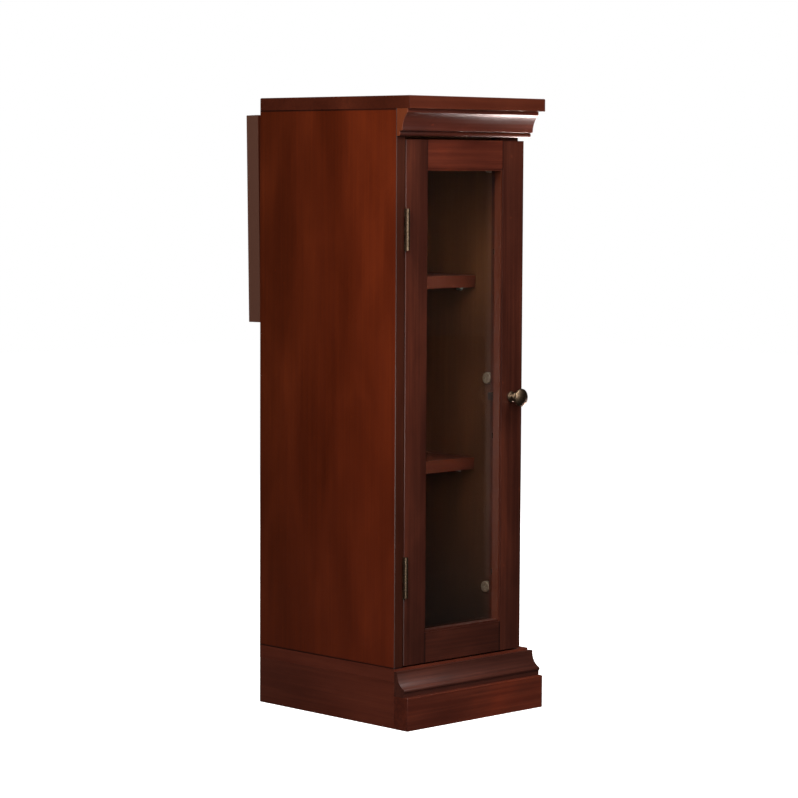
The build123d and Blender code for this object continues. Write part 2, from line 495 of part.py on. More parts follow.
def door_hinge_leaves(plate_left, plate_depth, first, screw_places):
    """One leaf of each door hinge: its plate, and every other knuckle from number first."""
    with BuildPart() as leaves:
        for height in DOOR_HINGE_HEIGHTS:
            foot = height - HINGE_LENGTH / 2
            board(plate_left, plate_left + HINGE_PLATE, FRONT, FRONT + plate_depth, foot, foot + HINGE_LENGTH)
            for number in range(first, HINGE_KNUCKLES, 2):
                low = foot + number * segment + KNUCKLE_GAP / 2
                high = low + segment - KNUCKLE_GAP
                pegs([facing((HINGE_X, HINGE_Y, low), (0, 0, 1))], KNUCKLE_RADIUS, high - low)
                board(plate_left, plate_left + HINGE_PLATE, HINGE_Y, FRONT, low, high)
            pegs([facing((HINGE_X, HINGE_Y, foot - 1), (0, 0, 1))],
                 HINGE_PIN_RADIUS + PIN_FIT, HINGE_LENGTH + 2, Mode.SUBTRACT)
        screws(screw_places, mode=Mode.SUBTRACT, **HINGE_SCREW)
    return leaves


hinge_frame_leaves = door_hinge_leaves(
    LEFT_INNER - HINGE_PLATE, HINGE_FRAME_PLATE_DEPTH, 0, frame_hinge_screws)
save(hinge_frame_leaves, "door_hinge_frame_leaves")
hinge_door_leaves = door_hinge_leaves(DOOR_LEFT_X, HINGE_DOOR_PLATE_DEPTH, 1, door_hinge_screws)
save(hinge_door_leaves, "door_hinge_door_leaves")

with BuildPart() as hinge_pins:
    pegs([facing((HINGE_X, HINGE_Y, height - HINGE_LENGTH / 2), (0, 0, 1)) for height in DOOR_HINGE_HEIGHTS],
         HINGE_PIN_RADIUS, HINGE_LENGTH)
    chamfer(hinge_pins.edges(), 0.3)
save(hinge_pins, "door_hinge_pins")

with BuildPart() as frame_screws:
    screws(frame_hinge_screws, **HINGE_SCREW)
save(frame_screws, "door_hinge_frame_screws")

with BuildPart() as door_screws:
    screws(door_hinge_screws, **HINGE_SCREW)
save(door_screws, "door_hinge_door_screws")

# ---------------------------------------------------------------- knob
dome = asin(KNOB_RIM / KNOB_DOME_RADIUS)
rim_proud = KNOB_PROUD - KNOB_DOME_RADIUS * (1 - cos(dome))
with BuildPart() as knob:
    with BuildSketch(Plane(origin=(KNOB_X, FRONT, KNOB_HEIGHT), x_dir=(1, 0, 0), z_dir=(0, 0, 1))):
        with BuildLine():
            Polyline((0, 0), (8.2, 0), (8.2, -1.6), (6.6, -2.6), (5.2, -3.0))
            ThreePointArc((5.2, -3.0), (4.4, -5.2), (6.2, -7.4))
            ThreePointArc((6.2, -7.4), (6.9, -8.8), (6.0, -10.2))
            ThreePointArc((6.0, -10.2), (4.9, -12.3), (6.0, -14.4))
            ThreePointArc((6.0, -14.4), (9.6, -16.0), (12.6, -18.8))
            ThreePointArc((12.6, -18.8), (13.35, -20.6), (KNOB_RIM, -rim_proud))
            CenterArc((0, KNOB_DOME_RADIUS - KNOB_PROUD), KNOB_DOME_RADIUS, -90, degrees(dome))
            Line((0, -KNOB_PROUD), (0, 0))
        make_face()
    revolve(axis=Axis((KNOB_X, FRONT, KNOB_HEIGHT), (0, -1, 0)))
    pegs([facing((KNOB_X, FRONT, KNOB_HEIGHT), (0, -1, 0))], KNOB_SCREW_RADIUS + 0.05, 9.0, Mode.SUBTRACT)
save(knob, "knob")

with BuildPart() as knob_screw:
    head_back = DOOR_BACK - KNOB_HEAD_SUNK
    shank_length = head_back - FRONT + 8.0
    pegs([facing((KNOB_X, head_back, KNOB_HEIGHT), (0, -1, 0))], KNOB_HEAD_RADIUS, KNOB_HEAD_THICK)
    pegs([facing((KNOB_X, head_back, KNOB_HEIGHT), (0, -1, 0))], KNOB_SCREW_RADIUS, shank_length)
    with Locations((KNOB_X, head_back, KNOB_HEIGHT)):
        Box(6.0, 2.0, 1.0, mode=Mode.SUBTRACT)
        Box(1.0, 2.0, 6.0, mode=Mode.SUBTRACT)
save(knob_screw, "knob_screw")

# ---------------------------------------------------------------- magnetic catch
with BuildPart() as magnetic_catch:
    board(catch_left, STILE_LEFT, catch_front, catch_back, KNOB_HEIGHT - CATCH_HALF, KNOB_HEIGHT + CATCH_HALF)
    fillet(magnetic_catch.edges().filter_by(Axis.Z).group_by(Axis.X)[0], 1.2)
    board(STILE_LEFT - CATCH_WALL, STILE_LEFT, catch_front, catch_front + 7,
          KNOB_HEIGHT - CATCH_EARS, KNOB_HEIGHT + CATCH_EARS)
    board(catch_left + 2, STILE_LEFT - CATCH_WALL, catch_front, catch_back - CATCH_WALL,
          KNOB_HEIGHT - CATCH_MAGNET_HALF, KNOB_HEIGHT + CATCH_MAGNET_HALF, Mode.SUBTRACT)
    screws(catch_screws_at, mode=Mode.SUBTRACT, **CATCH_SCREW)
save(magnetic_catch, "magnetic_catch")

with BuildPart() as catch_magnet:
    magnet_wall, magnet_half = CATCH_WALL + 0.1, CATCH_MAGNET_HALF - 0.1
    board(catch_left + 2.1, STILE_LEFT - magnet_wall, catch_front + 0.2, catch_back - magnet_wall,
          KNOB_HEIGHT - magnet_half, KNOB_HEIGHT + magnet_half)
save(catch_magnet, "catch_magnet")

with BuildPart() as catch_screws:
    screws(catch_screws_at, **CATCH_SCREW)
save(catch_screws, "catch_screws")

with BuildPart() as strike_plate:
    with BuildSketch(Plane(origin=(strike_x, DOOR_BACK, KNOB_HEIGHT), x_dir=(1, 0, 0), z_dir=(0, 1, 0))):
        RectangleRounded(10.0, 12.0, 2.0)
    extrude(amount=STRIKE_THICK)
    screws(strike_screw, mode=Mode.SUBTRACT, **CLIP_SCREW)
save(strike_plate, "strike_plate")

with BuildPart() as strike_plate_screw:
    screws(strike_screw, **CLIP_SCREW)
save(strike_plate_screw, "strike_plate_screw")

with BuildPart() as door_bumpers:
    pegs([facing((RIGHT_OUTER - 20, STILE_FRONT, z), (0, -1, 0)) for z in (DOOR_BOTTOM + 20, DOOR_TOP - 20)],
         4.0, 0.9)
save(door_bumpers, "door_bumpers")

# ---------------------------------------------------------------- drop leaf and its hinges
with BuildPart() as drop_leaf:
    with Locations(leaf_frame):
        with Locations((LEFT, -LEAF_TOP_FROM_AXIS, LEAF_FACE_FROM_AXIS)):
            Box(LEAF_WIDTH, LEAF_LENGTH, LEAF_THICK, align=(Align.MIN, Align.MIN, Align.MIN))
    chamfer(drop_leaf.edges().filter_by(Axis.X), 0.9)
    screws(moving_flap_screws, mode=Mode.SUBTRACT, **FLAP_SCREW)
save(drop_leaf, "drop_leaf")

FLAP_START = LEAF_KNUCKLE_RADIUS + 0.4
fixed_flap_frame = Plane(origin=(0, BACK, LEAF_AXIS_Z), x_dir=(1, 0, 0), z_dir=(0, 1, 0))


def leaf_hinge_flaps(flap_frame, neck_thick, first, screw_places):
    """One flap of each leaf hinge, down the y of a plane, and every other knuckle from number first."""
    corner = (Align.MIN, Align.MIN, Align.MIN)
    with BuildPart() as flaps:
        for x in leaf_hinge_x:
            start = x - HINGE_LENGTH / 2
            with Locations(flap_frame):
                with Locations((start, FLAP_START, 0)):
                    Box(HINGE_LENGTH, LEAF_FLAP_REACH - FLAP_START, LEAF_PLATE, align=corner)
            for number in range(first, HINGE_KNUCKLES, 2):
                low = start + number * segment + KNUCKLE_GAP / 2
                long = segment - KNUCKLE_GAP
                pegs([facing((low, LEAF_AXIS_Y, LEAF_AXIS_Z), (1, 0, 0))], LEAF_KNUCKLE_RADIUS, long)
                with Locations(flap_frame):
                    with Locations((low, 0, 0)):
                        Box(long, FLAP_START, neck_thick, align=corner)
            pegs([facing((start - 1, LEAF_AXIS_Y, LEAF_AXIS_Z), (1, 0, 0))],
                 LEAF_PIN_RADIUS + PIN_FIT, HINGE_LENGTH + 2, Mode.SUBTRACT)
        screws(screw_places, mode=Mode.SUBTRACT, **FLAP_SCREW)
    return flaps


leaf_fixed_flaps = leaf_hinge_flaps(fixed_flap_frame, LEAF_AXIS_BEHIND, 0, fixed_flap_screws)
save(leaf_fixed_flaps, "leaf_hinge_fixed_flaps")
leaf_moving_flaps = leaf_hinge_flaps(moving_flap_face, LEAF_PLATE, 1, moving_flap_screws)
save(leaf_moving_flaps, "leaf_hinge_moving_flaps")

with BuildPart() as leaf_pins:
    pegs([facing((x - HINGE_LENGTH / 2, LEAF_AXIS_Y, LEAF_AXIS_Z), (1, 0, 0)) for x in leaf_hinge_x],
         LEAF_PIN_RADIUS, HINGE_LENGTH)
save(leaf_pins, "leaf_hinge_pins")

with BuildPart() as fixed_screws:
    screws(fixed_flap_screws, **FLAP_SCREW)
save(fixed_screws, "leaf_hinge_fixed_screws")

with BuildPart() as moving_screws:
    screws(moving_flap_screws, **FLAP_SCREW)
save(moving_screws, "leaf_hinge_moving_screws")

print("leaf leans by", round(degrees(LEAF_LEAN), 3), "degrees; its axis is at", LEAF_AXIS_Y, LEAF_AXIS_Z)
print("door axis is at", HINGE_X, HINGE_Y)
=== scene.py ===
import json
import math

import bpy
from mathutils import Matrix, Vector


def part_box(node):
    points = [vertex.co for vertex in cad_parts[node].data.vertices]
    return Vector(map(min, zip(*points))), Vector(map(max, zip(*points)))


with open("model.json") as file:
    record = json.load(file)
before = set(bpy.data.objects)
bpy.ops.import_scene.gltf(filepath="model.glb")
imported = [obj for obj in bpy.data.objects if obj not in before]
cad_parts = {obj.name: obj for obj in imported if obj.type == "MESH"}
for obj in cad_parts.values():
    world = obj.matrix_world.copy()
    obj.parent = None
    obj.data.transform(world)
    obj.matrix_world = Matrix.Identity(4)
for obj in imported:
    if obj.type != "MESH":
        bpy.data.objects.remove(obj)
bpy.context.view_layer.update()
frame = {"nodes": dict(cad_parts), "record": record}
nodes = frame["nodes"]

# ---------------------------------------------------------------- places worked out from the frame
side_low, side_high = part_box("side_panel_left")
panel_low, panel_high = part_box("side_panel_right")
leaf_low, leaf_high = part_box("drop_leaf")
left_sight_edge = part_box("door_stile_left")[1][0]
right_sight_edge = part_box("door_stile_right")[0][0]
BACK_LEFT = Vector((side_low[0], side_high[1], 0.0))

# ---------------------------------------------------------------- camera
CAMERA_FROM_BACK_LEFT = Vector((-2.8418, -3.2226, 0.8096))
CAMERA_HEADING = math.radians(44.205)
CAMERA_DOWN = math.radians(4.615)
CAMERA_ROLL = math.radians(0.281)
LENS_MM, SENSOR_MM = 128.64, 36.0

# ---------------------------------------------------------------- colours, in linear light
# A stain is a dark, a middle and a light tone.
CHERRY = ((0.090, 0.0108, 0.0010), (0.122, 0.0146, 0.0010), (0.165, 0.0205, 0.0012))
MAHOGANY = ((0.036, 0.0088, 0.0050), (0.064, 0.0148, 0.0074), (0.110, 0.0235, 0.0100))
RED_MAHOGANY = ((0.060, 0.0120, 0.0065), (0.108, 0.0205, 0.0090), (0.185, 0.0270, 0.0080))
TOP_STAIN = ((0.058, 0.0115, 0.0050), (0.080, 0.0160, 0.0068), (0.110, 0.0220, 0.0085))
PLINTH_STAIN = ((0.088, 0.0175, 0.0085), (0.118, 0.0235, 0.0110), (0.150, 0.0300, 0.0130))
INSIDE = ((0.105, 0.0380, 0.0140), (0.138, 0.0490, 0.0180), (0.172, 0.0610, 0.0225))
SHELF_STAIN = ((0.064, 0.0110, 0.0042), (0.086, 0.0148, 0.0052), (0.108, 0.0185, 0.0062))

# These replace the stain where a zone mixes them in: a painted sheen on the leaf's ends, a brighter
# orange on the crown's left end, and a redder tone as painted key light on the door's reveal.
LEAF_END_SHEEN_TONE = (0.100, 0.0420, 0.0280)
CROWN_END = (0.150, 0.0310, 0.0090)
REVEAL_KEY_LIGHT_TONE = (0.066, 0.0120, 0.0035)

# These multiply the stain: painted shade at the side's front edge and rear, low in the cabinet and below
# the upper shelf; dark joint lines, some with painted shadow in the gap; and the grain's own marks.
FRONT_EDGE_SHADE_TONE = (0.30, 0.38, 0.50)
REAR_SHADE_TONE = (0.75, 0.85, 0.95)
BOTTOM_SHADE_TONE = (0.36, 0.46, 0.58)
SHELF_SHADE_TONE = (0.62, 0.62, 0.72)
JOINT_STAIN_AND_GAP_SHADE = (0.22, 0.22, 0.25)
STREAK = (0.62, 0.52, 0.50)
FIBRE = (0.70, 0.60, 0.55)
PORE = (0.35, 0.28, 0.26)

# ---------------------------------------------------------------- toned and painted-shade zones, in metres
EDGE_DEPTH = 0.0006
JOINT_WIDTH = 0.0014
DOOR_STEP = 0.003
REAR_SHADE_START = 0.06
BOTTOM_SHADE = (0.22, 0.02)
SHELF_SHADE = (0.58, 0.46)

# ---------------------------------------------------------------- softened edges, in metres
EDGE_RADIUS = {"cherry_wood": 0.0007, "zinc_alloy": 0.0002, "clear_glass": 0.0002}
WELD_DISTANCE = 0.00001
SHARP_ANGLE = math.radians(35)

# ---------------------------------------------------------------- studio
AMBIENT, AMBIENT_IN_GLOSS, BACKDROP = 0.05, 0.015, 1.0
FLOOR_BOUNCE, FLOOR_IN_GLOSS = 0.22, 0.02
FLOOR_GLOW = 0.97
FLOOR_SIZE = 14.0
WHITE, WARM_WHITE, ROSE = (1.0, 1.0, 1.0), (1.0, 0.98, 0.95), (1.0, 0.80, 0.76)
BODY_CENTRE = (0, 0, 0.5)
CROWN_CENTRE = (0, -0.15, 0.87)
LOWER_HINGE = (-0.13, -0.15, 0.25)


# ---------------------------------------------------------------- node helpers
def new_material(name):
    """A node material with its surface shader: (material, tree, shader)."""
    material = bpy.data.materials.new(name)
    material.use_nodes = True
    tree = material.node_tree
    tree.nodes.clear()
    output = tree.nodes.new("ShaderNodeOutputMaterial")
    shader = tree.nodes.new("ShaderNodeBsdfPrincipled")
    tree.links.new(shader.outputs["BSDF"], output.inputs["Surface"])
    return material, tree, shader


def surface_input(tree):
    """The surface socket of a material's output node."""
    return next(node for node in tree.nodes if node.type == "OUTPUT_MATERIAL").inputs["Surface"]


def place(tree, scale, offset):
    """Object coordinates in metres, multiplied by scale and then shifted."""
    coordinates = tree.nodes.new("ShaderNodeTexCoord")
    mapping = tree.nodes.new("ShaderNodeMapping")
    mapping.inputs["Location"].default_value = offset
    mapping.inputs["Scale"].default_value = scale
    tree.links.new(coordinates.outputs["Object"], mapping.inputs["Vector"])
    return mapping.outputs["Vector"]


def noise(tree, vector, detail=2.0, roughness=0.5, distortion=0.0):
    """Noise with one cell per unit of its vector."""
    node = tree.nodes.new("ShaderNodeTexNoise")
    node.inputs["Scale"].default_value = 1.0
    node.inputs["Detail"].default_value = detail
    node.inputs["Roughness"].default_value = roughness
    node.inputs["Distortion"].default_value = distortion
    tree.links.new(vector, node.inputs["Vector"])
    return node.outputs["Fac"]


def even_noise(tree, cells, detail=2.0):
    """Noise with the same number of cells per metre every way."""
    return noise(tree, place(tree, (cells, cells, cells), (0, 0, 0)), detail)


def ramp(tree, value, stops):
    """A colour ramp; each stop is (position, colour)."""
    node = tree.nodes.new("ShaderNodeValToRGB")
    while len(node.color_ramp.elements) < len(stops):
        node.color_ramp.elements.new(0.5)
    for element, (position, colour) in zip(node.color_ramp.elements, stops):
        element.position = position
        element.color = (*colour, 1.0)
    tree.links.new(value, node.inputs["Fac"])
    return node.outputs["Color"]


def span(tree, value, low, high, to_low, to_high):
    """value between low and high, mapped to between to_low and to_high, and clamped."""
    node = tree.nodes.new("ShaderNodeMapRange")
    node.inputs["From Min"].default_value = low
    node.inputs["From Max"].default_value = high
    node.inputs["To Min"].default_value = to_low
    node.inputs["To Max"].default_value = to_high
    tree.links.new(value, node.inputs["Value"])
    return node.outputs["Result"]


def blend(tree, kind, factor, first, second):
    """first blended with second by a factor socket; first and second are colours or sockets."""
    node = tree.nodes.new("ShaderNodeMix")
    node.data_type = "RGBA"
    node.blend_type = kind
    tree.links.new(factor, next(s for s in node.inputs if s.name == "Factor" and s.type == "VALUE"))
    for name, colour in (("A", first), ("B", second)):
        socket = next(s for s in node.inputs if s.name == name and s.type == "RGBA")
        if isinstance(colour, bpy.types.NodeSocket):
            tree.links.new(colour, socket)
        else:
            socket.default_value = (*colour, 1.0)
    return next(s for s in node.outputs if s.type == "RGBA")


def calculate(tree, operation, first, second):
    """One arithmetic step on a socket, and a socket or a plain number."""
    step = tree.nodes.new("ShaderNodeMath")
    step.operation = operation
    tree.links.new(first, step.inputs[0])
    if isinstance(second, float):
        step.inputs[1].default_value = second
    else:
        tree.links.new(second, step.inputs[1])
    return step.outputs["Value"]


def mix_shaders(tree, factor, first, second):
    """The first shader where factor is 0, and the second where it is 1."""
    node = tree.nodes.new("ShaderNodeMixShader")
    tree.links.new(factor, node.inputs["Fac"])
    tree.links.new(first, node.inputs[1])
    tree.links.new(second, node.inputs[2])
    return node.outputs["Shader"]


def bump(tree, shader, height, distance, strength):
    """Raises the surface where height is high."""
    node = tree.nodes.new("ShaderNodeBump")
    node.inputs["Distance"].default_value = distance
    node.inputs["Strength"].default_value = strength
    tree.links.new(height, node.inputs["Height"])
    tree.links.new(node.outputs["Normal"], shader.inputs["Normal"])


# ---------------------------------------------------------------- materials
def grain(tree, axis, across, lengthwise, offset, detail, roughness=0.5, distortion=0.0):
    """Noise with so many cells per metre across the grain and along it."""
    scale = [lengthwise if name == axis else across for name in "xyz"]
    return noise(tree, place(tree, scale, offset), detail, roughness, distortion)


def wood(name, axis, tones, offset=(0, 0, 0), figure=1.0, gloss=0.36, coat=0.25, zones=()):
    """Stained wood under satin lacquer, with its grain along an axis.

    figure is how strong the streaks are, and gloss is the roughness of the lacquer.
    Each zone is (axis index, from, to, kind, colour): the stain turns to that colour by the second place.
    """
    dark, middle, light = tones
    fleck = 0.25 + 0.35 * figure
    material, tree, shader = new_material(name)
    cloud = grain(tree, axis, 13.0, 4.5, offset, detail=4.0, distortion=0.4)
    streaks = grain(tree, axis, 210.0, 3.0, offset, detail=5.0, roughness=0.62)
    fibres = grain(tree, axis, 620.0, 10.0, offset, detail=4.0, roughness=0.6)
    pores = grain(tree, axis, 1500.0, 60.0, offset, detail=1.0)
    specks = grain(tree, axis, 150.0, 110.0, offset, detail=0.0)
    stain = ramp(tree, cloud, ((0.30, dark), (0.52, middle), (0.74, light)))
    for kind, factor, colour in (
        ("MULTIPLY", span(tree, streaks, 0.42, 0.62, 0.75 * figure, 0.0), STREAK),
        ("MULTIPLY", span(tree, fibres, 0.45, 0.68, fleck, 0.0), FIBRE),
        ("MULTIPLY", span(tree, pores, 0.66, 0.78, 0.0, fleck), PORE),
        ("MIX", span(tree, specks, 0.84, 0.87, 0.0, 0.4), light),
    ):
        stain = blend(tree, kind, factor, stain, colour)
    coordinates = tree.nodes.new("ShaderNodeTexCoord")
    split = tree.nodes.new("ShaderNodeSeparateXYZ")
    tree.links.new(coordinates.outputs["Object"], split.inputs["Vector"])
    for index, start, end, kind, colour in zones:
        stain = blend(tree, kind, span(tree, split.outputs[index], start, end, 0.0, 1.0), stain, colour)
    tree.links.new(stain, shader.inputs["Base Color"])
    tree.links.new(span(tree, cloud, 0.3, 0.7, gloss - 0.04, gloss + 0.06), shader.inputs["Roughness"])
    shader.inputs["Specular IOR Level"].default_value = 0.35
    shader.inputs["Coat Weight"].default_value = coat
    shader.inputs["Coat Roughness"].default_value = 0.22
    bump(tree, shader, fibres, 0.0002, 0.2)
    return material


def metal(name, colour, worn, roughness, metallic=1.0):
    """A plated metal with darker tarnish and brighter worn patches."""
    material, tree, shader = new_material(name)
    patches = noise(tree, place(tree, (520, 520, 520), (3, 1, 2)), detail=4.0, roughness=0.6)
    tint = blend(tree, "MIX", span(tree, patches, 0.45, 0.72, 0.0, 0.6), colour, worn)
    tree.links.new(tint, shader.inputs["Base Color"])
    shader.inputs["Metallic"].default_value = metallic
    satin = span(tree, patches, 0.3, 0.7, roughness + 0.12, roughness - 0.06)
    tree.links.new(satin, shader.inputs["Roughness"])
    scratches = noise(tree, place(tree, (2600, 2600, 300), (0, 0, 0)))
    bump(tree, shader, scratches, 0.00004, 0.35)
    return material


def plastic(name, colour, roughness):
    """Moulded plastic or rubber with a fine grained surface."""
    material, tree, shader = new_material(name)
    texture = even_noise(tree, 1800)
    darker = tuple(0.7 * channel for channel in colour)
    tree.links.new(ramp(tree, texture, ((0.3, darker), (0.7, colour))), shader.inputs["Base Color"])
    shader.inputs["Roughness"].default_value = roughness
    bump(tree, shader, texture, 0.00005, 0.3)
    return material


def bare_wood(name):
    """Unfinished birch, for dowels."""
    material, tree, shader = new_material(name)
    stops = ((0.3, (0.40, 0.26, 0.13)), (0.7, (0.58, 0.42, 0.24)))
    tree.links.new(ramp(tree, even_noise(tree, 700, detail=4.0), stops), shader.inputs["Base Color"])
    shader.inputs["Roughness"].default_value = 0.7
    return material


def glass(name):
    """Clear float glass that lets light into the cabinet."""
    material, tree, shader = new_material(name)
    shader.inputs["Base Color"].default_value = (0.93, 0.95, 0.93, 1.0)
    shader.inputs["Transmission Weight"].default_value = 1.0
    shader.inputs["IOR"].default_value = 1.5
    film = noise(tree, place(tree, (9, 9, 6), (0, 0, 0)), detail=3.0)
    tree.links.new(span(tree, film, 0.35, 0.75, 0.0, 0.03), shader.inputs["Roughness"])
    path = tree.nodes.new("ShaderNodeLightPath")
    clear = tree.nodes.new("ShaderNodeBsdfTransparent")
    clear.inputs["Color"].default_value = (0.86, 0.89, 0.86, 1.0)
    pane = mix_shaders(tree, path.outputs["Is Shadow Ray"], shader.outputs["BSDF"], clear.outputs["BSDF"])
    tree.links.new(pane, surface_input(tree))
    return material


# ---------------------------------------------------------------- toned zones, painted shade and painted light
def near(index, edge, depth, kind, colour):
    """A zone at an edge: depth is how far it reaches from there, and its sign says which way."""
    return (index, edge + 2 * depth, edge + depth, kind, colour)


def joint(index, edge, width):
    """A dark line where two boards meet: a dark joint, or painted shadow in a gap."""
    return near(index, edge, width, "MULTIPLY", JOINT_STAIN_AND_GAP_SHADE)


def shade(heights, colour):
    """Painted shade that sets in between two heights above the right panel's foot."""
    start, end = (panel_low[2] + height for height in heights)
    return (2, start, end, "MULTIPLY", colour)


# Painted shade on the side panel's front edge, beside the door.
FRONT_EDGE_SHADE = near(1, side_low[1], EDGE_DEPTH, "MULTIPLY", FRONT_EDGE_SHADE_TONE)
# Painted shade: the side and its plinth darken towards the rear.
REAR_SHADE = (1, side_low[1] + REAR_SHADE_START, side_high[1], "MULTIPLY", REAR_SHADE_TONE)
LEFT_END = near(0, side_low[0], EDGE_DEPTH, "MIX", CROWN_END)
OUTER_FACE = near(0, panel_high[0], -EDGE_DEPTH, "MIX", CHERRY[1])
# Painted key light: the reveal of the right stile turns redder.
REVEAL_KEY_LIGHT = near(0, right_sight_edge, EDGE_DEPTH, "MIX", REVEAL_KEY_LIGHT_TONE)
# Painted shadow in the gaps under the top board and above the bottom board.
SIDE_SHADOW_GAPS = (joint(2, side_high[2], -JOINT_WIDTH), joint(2, side_low[2], JOINT_WIDTH))
RAIL_JOINTS = (
    joint(0, left_sight_edge - DOOR_STEP, JOINT_WIDTH),
    joint(0, right_sight_edge + DOOR_STEP, -JOINT_WIDTH),
)
# Painted sheen: the leaf's ends turn paler and greyer.
LEAF_END_SHEEN = (
    near(0, leaf_low[0], EDGE_DEPTH, "MIX", LEAF_END_SHEEN_TONE),
    near(0, leaf_high[0], -EDGE_DEPTH, "MIX", LEAF_END_SHEEN_TONE),
)

# ---------------------------------------------------------------- the pieces' materials
# Boards with a stain of their own; every other piece goes by its material slot.
wood_of = {
    "side_panel_left": wood("side_cherry", "z", CHERRY, (0.3, 0.9, 0.2), figure=0.45, gloss=0.42,
                            zones=(REAR_SHADE, FRONT_EDGE_SHADE, *SIDE_SHADOW_GAPS)),
    "top_board": wood("top_cherry", "x", TOP_STAIN, (0.7, 0.1, 0.4), figure=0.5, gloss=0.32),
    "crown_moulding": wood("crown_mahogany", "x", RED_MAHOGANY, (0.2, 0.6, 0.5), figure=0.7, gloss=0.46,
                           zones=(LEFT_END,)),
    "header_rail": wood("header_mahogany", "x", MAHOGANY, (0.6, 0.3, 0.2)),
    "base_moulding": wood("base_mahogany", "x", MAHOGANY, (0.8, 0.4, 0.1), gloss=0.50, coat=0.1),
    "bottom_board": wood("bottom_cherry", "y", PLINTH_STAIN, (0.5, 0.2, 0.7), figure=0.5),
    "plinth_front": wood("plinth_mahogany", "x", RED_MAHOGANY, (0.1, 0.8, 0.6)),
    "plinth_side_left": wood("plinth_left_mahogany", "y", PLINTH_STAIN, (0.6, 0.3, 0.9), figure=0.6,
                             zones=(REAR_SHADE,)),
    "plinth_side_right": wood("plinth_right_mahogany", "y", PLINTH_STAIN, (0.4, 0.7, 0.3), figure=0.6),
    # The right panel carries painted shade towards its foot and below the upper shelf.
    "side_panel_right": wood("right_panel", "z", INSIDE, (0.9, 0.5, 0.8), figure=0.3, gloss=0.5, coat=0.0,
                             zones=(shade(BOTTOM_SHADE, BOTTOM_SHADE_TONE), shade(SHELF_SHADE, SHELF_SHADE_TONE),
                                    OUTER_FACE)),
    "front_stile": wood("front_stile_mahogany", "z", MAHOGANY, (0.2, 0.1, 0.9)),
    "door_stile_left": wood("left_stile_mahogany", "z", MAHOGANY, (0.35, 0.2, 0.1)),
    "door_stile_right": wood("right_stile_mahogany", "z", MAHOGANY, (0.75, 0.9, 0.3), zones=(REVEAL_KEY_LIGHT,)),
    "door_rail_top": wood("top_rail_mahogany", "x", RED_MAHOGANY, (0.15, 0.5, 0.2), zones=RAIL_JOINTS),
    "door_rail_bottom": wood("bottom_rail_mahogany", "x", MAHOGANY, (0.55, 0.1, 0.6), zones=RAIL_JOINTS),
    "shelf_upper": wood("upper_shelf", "x", SHELF_STAIN, (0.45, 0.6, 0.4), figure=0.6, gloss=0.45),
    "shelf_lower": wood("lower_shelf", "x", SHELF_STAIN, (0.25, 0.4, 0.8), figure=0.6, gloss=0.45),
    "drop_leaf": wood("leaf_mahogany", "z", TOP_STAIN, (0.95, 0.3, 0.5), figure=0.7, zones=LEAF_END_SHEEN),
}
material_of_slot = {
    "cherry_wood": wood("inner_wood", "x", INSIDE, (0.5, 0.5, 0.5), figure=0.5, gloss=0.5, coat=0.0),
    "back_board": wood("back_board", "z", PLINTH_STAIN, (0.1, 0.2, 0.3), figure=0.5, gloss=0.6, coat=0.0),
    "plain_wood": bare_wood("birch"),
    "zinc_alloy": metal("zinc_alloy", (0.22, 0.145, 0.100), (0.46, 0.37, 0.29), 0.45, metallic=0.3),
    "zinc_steel": metal("zinc_steel", (0.45, 0.45, 0.44), (0.68, 0.68, 0.66), 0.30),
    "antique_brass": metal("antique_brass", (0.110, 0.072, 0.045), (0.40, 0.28, 0.18), 0.36),
    "clear_glass": glass("clear_glass"),
    "clip_plastic": plastic("clip_plastic", (0.02, 0.012, 0.008), 0.45),
    "catch_plastic": plastic("catch_plastic", (0.012, 0.007, 0.005), 0.4),
    "magnet_steel": metal("magnet_steel", (0.20, 0.20, 0.21), (0.40, 0.40, 0.42), 0.4),
    "bumper_rubber": plastic("bumper_rubber", (0.05, 0.03, 0.02), 0.8),
}


def soften(node, radius):
    """Rounds the sharp edges, so that they catch the light."""
    weld = node.modifiers.new("weld", "WELD")
    weld.merge_threshold = WELD_DISTANCE
    edges = node.modifiers.new("edges", "BEVEL")
    edges.width = radius
    edges.segments = 2
    edges.limit_method = "ANGLE"
    edges.angle_limit = SHARP_ANGLE
    edges.harden_normals = True


slot_of = {part["node"]: part["material_slot"] for part in frame["record"]["subparts"]}
for name, node in nodes.items():
    slot = slot_of[name]
    node.data.materials.clear()
    node.data.materials.append(wood_of.get(name, material_of_slot[slot]))
    if slot in EDGE_RADIUS:
        soften(node, EDGE_RADIUS[slot])


# ---------------------------------------------------------------- floor, light and camera
def ray_mix(tree, output, for_others, for_gloss, for_camera):
    """One shader for what the camera sees, through glass as well, one for gloss, and one for the rest."""
    path = tree.nodes.new("ShaderNodeLightPath")
    bounced = calculate(tree, "ADD", path.outputs["Diffuse Depth"], path.outputs["Glossy Depth"])
    direct = calculate(tree, "LESS_THAN", bounced, 0.5)
    through = calculate(tree, "MULTIPLY", path.outputs["Is Transmission Ray"], direct)
    seen = calculate(tree, "MAXIMUM", path.outputs["Is Camera Ray"], through)
    unseen = mix_shaders(tree, path.outputs["Is Glossy Ray"], for_others, for_gloss)
    tree.links.new(mix_shaders(tree, seen, unseen, for_camera), output)


def grey_diffuse(tree, value):
    """A plain grey surface."""
    node = tree.nodes.new("ShaderNodeBsdfDiffuse")
    node.inputs["Color"].default_value = (value, value, value, 1.0)
    return node.outputs["BSDF"]


